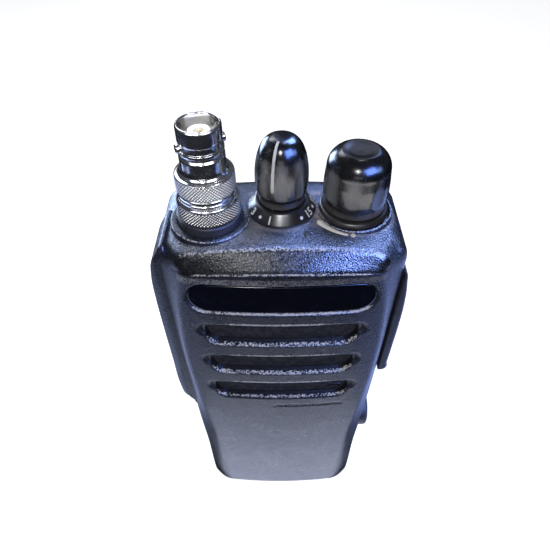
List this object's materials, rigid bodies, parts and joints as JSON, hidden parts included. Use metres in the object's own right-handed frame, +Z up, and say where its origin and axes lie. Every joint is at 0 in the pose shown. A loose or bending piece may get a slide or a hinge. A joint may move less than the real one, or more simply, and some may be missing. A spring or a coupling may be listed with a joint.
{
  "type": "two way radio",
  "caption": "Handheld two way radio with a bayonet antenna adapter, channel selector, volume knob, speaker grille, side keys, accessory cover and clip-on battery.",
  "frame": {"origin": "centre of the bounding box at the foot that it stands on", "axes": "+Z up towards the controls, -Y out of the front, +X to the right seen from the front"},
  "size_m": [0.0646, 0.042, 0.1522],
  "materials": {
    "housing_black": "fine sparkling moulded grain, worn bright on edges",
    "plate_gloss": "glossy navy black",
    "speaker_cloth": "fine black weave",
    "steel": "plated",
    "cone_black": "pressed paper",
    "magnet_iron": "plated",
    "rubber_black": "matt",
    "board_green": "solder resist",
    "chassis_aluminium": "die cast",
    "gold_plate": "gold plated",
    "brass": "turned",
    "nickel": "nickel plated, knurled",
    "white_insulator": "white fluoropolymer",
    "control_grey": "moulded",
    "knob_gloss": "polished by use, fine scratches",
    "lens_red": "dark red",
    "key_rubber": "matt soft touch",
    "battery_black": "fine moulded grain",
    "cell_can": "blue wrapped",
    "latch_black": "ribbed"
  },
  "bodies": {
    "radio": {"front_housing": "housing_black", "name_plate": "plate_gloss", "speaker_cloth": "speaker_cloth", "speaker_basket": "steel", "speaker_cone": "cone_black", "speaker_magnet": "magnet_iron", "speaker_screws": "steel", "microphone": "steel", "microphone_boot": "rubber_black", "main_board": "board_green", "board_shield": "steel", "board_screws": "steel", "rear_chassis": "chassis_aluminium", "main_seal": "rubber_black", "foot_screws": "steel", "radio_contacts": "gold_plate", "antenna_jack": "brass", "antenna_seal_ring": "rubber_black", "adapter_collar": "nickel", "adapter_body": "nickel", "adapter_insulator": "white_insulator", "adapter_contact": "gold_plate", "channel_dial_ring": "knob_gloss", "channel_switch": "control_grey", "channel_nut": "brass", "volume_ring": "knob_gloss", "volume_switch": "control_grey", "volume_nut": "brass", "indicator_lens": "lens_red", "key_frame": "rubber_black", "side_switches": "board_green", "cover_strap": "key_rubber", "accessory_jack": "control_grey"},
    "channel_control": {"channel_knob": "knob_gloss", "channel_shaft": "steel"},
    "volume_control": {"volume_knob": "knob_gloss", "volume_shaft": "steel"},
    "ptt": {"ptt_key": "key_rubber"},
    "upper_button": {"side_button_upper": "key_rubber"},
    "lower_button": {"side_button_lower": "key_rubber"},
    "cover": {"dust_cover": "key_rubber"},
    "battery": {"battery_case": "battery_black", "battery_lid": "battery_black", "battery_cells": "cell_can", "battery_contacts": "gold_plate"},
    "latch_left": {"battery_latch_left": "latch_black"},
    "latch_right": {"battery_latch_right": "latch_black"}
  },
  "joints": [
    {"name": "channel_turn", "type": "hinge", "parent": "radio", "child": "channel_control", "pos_m": [0.0001, -0.00195, 0.14], "axis": [0, 0, -1], "range_deg": [0, 300]},
    {"name": "volume_turn", "type": "hinge", "parent": "radio", "child": "volume_control", "pos_m": [0.0175, -0.00195, 0.138], "axis": [0, 0, -1], "range_deg": [0, 280]},
    {"name": "ptt_press", "type": "slide", "parent": "radio", "child": "ptt", "axis": [1, 0, 0], "range_m": [0, 0.001], "stiffness_N_per_m": 3000},
    {"name": "upper_button_press", "type": "slide", "parent": "radio", "child": "upper_button", "axis": [1, 0, 0], "range_m": [0, 0.0007], "stiffness_N_per_m": 3000},
    {"name": "lower_button_press", "type": "slide", "parent": "radio", "child": "lower_button", "axis": [1, 0, 0], "range_m": [0, 0.0007], "stiffness_N_per_m": 3000},
    {"name": "cover_swing", "type": "hinge", "parent": "radio", "child": "cover", "pos_m": [0.03036, -0.0075, 0.0724], "axis": [0, 1, 0], "range_deg": [0, 120]},
    {"name": "battery_tip", "type": "hinge", "parent": "radio", "child": "battery", "pos_m": [0, 0.0031, 0.0045], "axis": [-1, 0, 0], "range_deg": [0, 20]},
    {"name": "latch_left_slide", "type": "slide", "parent": "battery", "child": "latch_left", "axis": [0, 0, -1], "range_m": [0, 0.003], "stiffness_N_per_m": 800},
    {"name": "latch_right_slide", "type": "slide", "parent": "battery", "child": "latch_right", "axis": [0, 0, -1], "range_m": [0, 0.003], "stiffness_N_per_m": 800}
  ]
}
